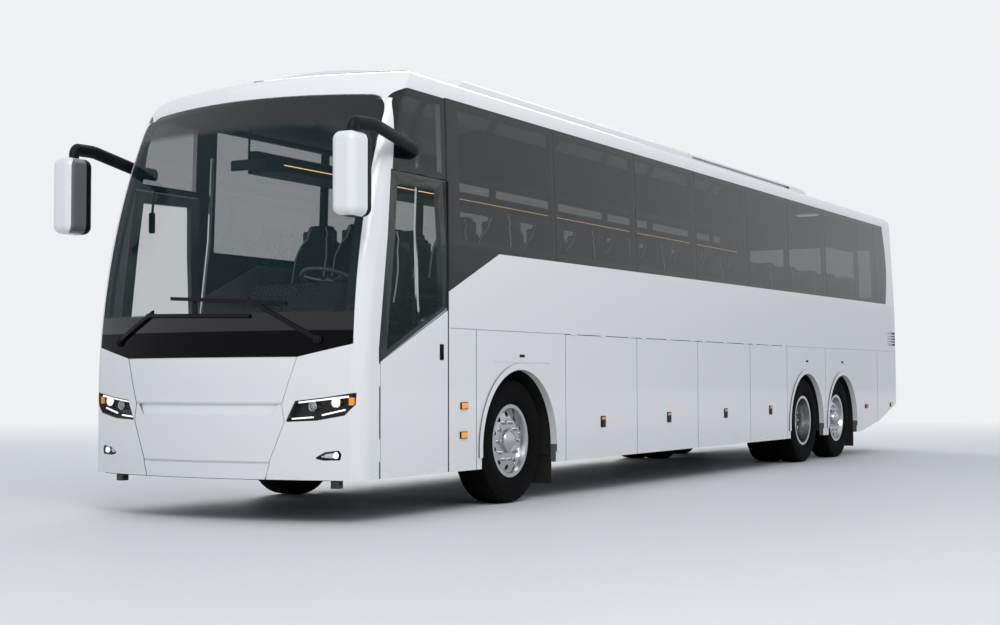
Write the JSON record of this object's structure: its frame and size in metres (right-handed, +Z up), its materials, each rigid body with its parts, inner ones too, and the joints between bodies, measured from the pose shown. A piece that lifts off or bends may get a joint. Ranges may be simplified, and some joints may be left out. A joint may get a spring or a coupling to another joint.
{
  "type": "three-axle coach bus",
  "caption": "High-floor touring coach with a curved nose, steered front wheels, twin drive wheels, a tag axle, front doors, luggage flaps and an engine door.",
  "frame": {"origin": "on the ground, at half the width and half the length over the mirrors", "axes": "+X to the vehicle's own left, +Y to the rear, +Z up"},
  "size_m": [2.85, 14.23, 3.63],
  "materials": {
    "white_paint": "gloss",
    "black_trim": "satin",
    "tinted_glass": "gloss, dark tint",
    "screen_glass": "gloss, light green tint",
    "lamp_clear": "clear, gloss",
    "lamp_housing": "gloss",
    "lamp_red": "gloss",
    "floor_vinyl": "matte",
    "frame_steel": "satin black",
    "engine_iron": "rough",
    "bellows_rubber": "matte",
    "tyre_rubber": "matte",
    "wheel_alloy": "polished",
    "dash_plastic": "matte",
    "seat_fabric": "woven, dark grey"
  },
  "bodies": {
    "coach": {"front_corners": "white_paint", "front_panel": "white_paint", "front_bumper": "white_paint", "side_walls": "white_paint", "skirt_panels": "white_paint", "roof_shell": "white_paint", "rear_wall": "white_paint", "rear_bumper": "white_paint", "mirrors": "white_paint", "wiper_cowl": "black_trim", "window_frames": "black_trim", "mirror_arms": "black_trim", "wipers": "black_trim", "wheel_liners": "black_trim", "cabin_glass": "tinted_glass", "windscreen": "screen_glass", "headlamp_covers": "lamp_clear", "headlamps": "lamp_housing", "tail_lamps": "lamp_red", "floor": "floor_vinyl", "luggage_hold": "floor_vinyl", "underframe": "frame_steel", "front_axle": "frame_steel", "drive_axle": "frame_steel", "tag_axle": "frame_steel", "engine_block": "engine_iron", "air_springs": "bellows_rubber", "dashboard": "dash_plastic", "steering_wheel": "dash_plastic", "luggage_racks": "dash_plastic", "crew_seats": "seat_fabric", "passenger_seats": "seat_fabric"},
    "door_left": {"door_left": "white_paint", "door_left_glass": "tinted_glass"},
    "door_arms": {"door_arms": "frame_steel"},
    "door_right": {"door_right": "white_paint", "door_right_glass": "tinted_glass"},
    "engine_door": {"engine_door": "white_paint"},
    "knuckle_left": {"knuckle_left": "frame_steel"},
    "knuckle_right": {"knuckle_right": "frame_steel"},
    "luggage_flap_left_1": {"luggage_flap_left_1": "white_paint"},
    "luggage_flap_left_2": {"luggage_flap_left_2": "white_paint"},
    "luggage_flap_left_3": {"luggage_flap_left_3": "white_paint"},
    "luggage_flap_left_4": {"luggage_flap_left_4": "white_paint"},
    "wheel_front_left": {"wheel_front_left": "wheel_alloy", "tyre_front_left": "tyre_rubber"},
    "wheel_drive_left": {"wheel_drive_left": "wheel_alloy", "tyre_drive_left": "tyre_rubber"},
    "wheel_tag_left": {"wheel_tag_left": "wheel_alloy", "tyre_tag_left": "tyre_rubber"},
    "luggage_flap_right_1": {"luggage_flap_right_1": "white_paint"},
    "luggage_flap_right_2": {"luggage_flap_right_2": "white_paint"},
    "luggage_flap_right_3": {"luggage_flap_right_3": "white_paint"},
    "luggage_flap_right_4": {"luggage_flap_right_4": "white_paint"},
    "wheel_front_right": {"wheel_front_right": "wheel_alloy", "tyre_front_right": "tyre_rubber"},
    "wheel_drive_right": {"wheel_drive_right": "wheel_alloy", "tyre_drive_right": "tyre_rubber"},
    "wheel_tag_right": {"wheel_tag_right": "wheel_alloy", "tyre_tag_right": "tyre_rubber"}
  },
  "joints": [
    {"name": "steer_left", "type": "hinge", "parent": "coach", "child": "knuckle_left", "pos_m": [0.95, -4.475, 0.518], "axis": [0, 0, 1], "range_deg": [-40, 40]},
    {"name": "roll_front_left", "type": "hinge", "parent": "knuckle_left", "child": "wheel_front_left", "pos_m": [1.068, -4.475, 0.518], "axis": [1, 0, 0], "continuous": true},
    {"name": "roll_drive_left", "type": "hinge", "parent": "coach", "child": "wheel_drive_left", "pos_m": [0.92, 2.965, 0.518], "axis": [1, 0, 0], "continuous": true},
    {"name": "roll_tag_left", "type": "hinge", "parent": "coach", "child": "wheel_tag_left", "pos_m": [1.068, 4.365, 0.518], "axis": [1, 0, 0], "continuous": true},
    {"name": "flap_left_1", "type": "hinge", "parent": "coach", "child": "luggage_flap_left_1", "pos_m": [1.275, -2.875, 1.424], "axis": [0, -1, 0], "range_deg": [0, 85]},
    {"name": "flap_left_2", "type": "hinge", "parent": "coach", "child": "luggage_flap_left_2", "pos_m": [1.275, -1.359, 1.424], "axis": [0, -1, 0], "range_deg": [0, 85]},
    {"name": "flap_left_3", "type": "hinge", "parent": "coach", "child": "luggage_flap_left_3", "pos_m": [1.275, 0.1795, 1.424], "axis": [0, -1, 0], "range_deg": [0, 85]},
    {"name": "flap_left_4", "type": "hinge", "parent": "coach", "child": "luggage_flap_left_4", "pos_m": [1.275, 1.5765, 1.424], "axis": [0, -1, 0], "range_deg": [0, 85]},
    {"name": "steer_right", "type": "hinge", "parent": "coach", "child": "knuckle_right", "pos_m": [-0.95, -4.475, 0.518], "axis": [0, 0, 1], "range_deg": [-40, 40]},
    {"name": "roll_front_right", "type": "hinge", "parent": "knuckle_right", "child": "wheel_front_right", "pos_m": [-1.068, -4.475, 0.518], "axis": [1, 0, 0], "continuous": true},
    {"name": "roll_drive_right", "type": "hinge", "parent": "coach", "child": "wheel_drive_right", "pos_m": [-0.92, 2.965, 0.518], "axis": [1, 0, 0], "continuous": true},
    {"name": "roll_tag_right", "type": "hinge", "parent": "coach", "child": "wheel_tag_right", "pos_m": [-1.068, 4.365, 0.518], "axis": [1, 0, 0], "continuous": true},
    {"name": "flap_right_1", "type": "hinge", "parent": "coach", "child": "luggage_flap_right_1", "pos_m": [-1.275, -2.875, 1.424], "axis": [0, 1, 0], "range_deg": [0, 85]},
    {"name": "flap_right_2", "type": "hinge", "parent": "coach", "child": "luggage_flap_right_2", "pos_m": [-1.275, -1.359, 1.424], "axis": [0, 1, 0], "range_deg": [0, 85]},
    {"name": "flap_right_3", "type": "hinge", "parent": "coach", "child": "luggage_flap_right_3", "pos_m": [-1.275, 0.1795, 1.424], "axis": [0, 1, 0], "range_deg": [0, 85]},
    {"name": "flap_right_4", "type": "hinge", "parent": "coach", "child": "luggage_flap_right_4", "pos_m": [-1.275, 1.5765, 1.424], "axis": [0, 1, 0], "range_deg": [0, 85]},
    {"name": "door_left_hinge", "type": "hinge", "parent": "coach", "child": "door_left", "pos_m": [1.275, -6.562, 0.8], "axis": [0, 0, -1], "range_deg": [0, 80]},
    {"name": "door_arm_swing", "type": "hinge", "parent": "coach", "child": "door_arms", "pos_m": [-1.13, -6.482, 0.8], "axis": [0, 0, 1], "range_deg": [0, 120]},
    {"name": "door_right_turn", "type": "hinge", "parent": "door_arms", "child": "door_right", "pos_m": [-1.195, -5.962, 0.8], "axis": [0, 0, 1], "range_deg": [-120, 0]},
    {"name": "engine_door_hinge", "type": "hinge", "parent": "coach", "child": "engine_door", "pos_m": [0, 7.07555, 1.95], "axis": [1, 0, 0], "range_deg": [0, 80]}
  ],
  "couplings": [
    {"joint": "steer_right", "follows": "steer_left", "ratio": 1},
    {"joint": "door_right_turn", "follows": "door_arm_swing", "ratio": -1}
  ]
}
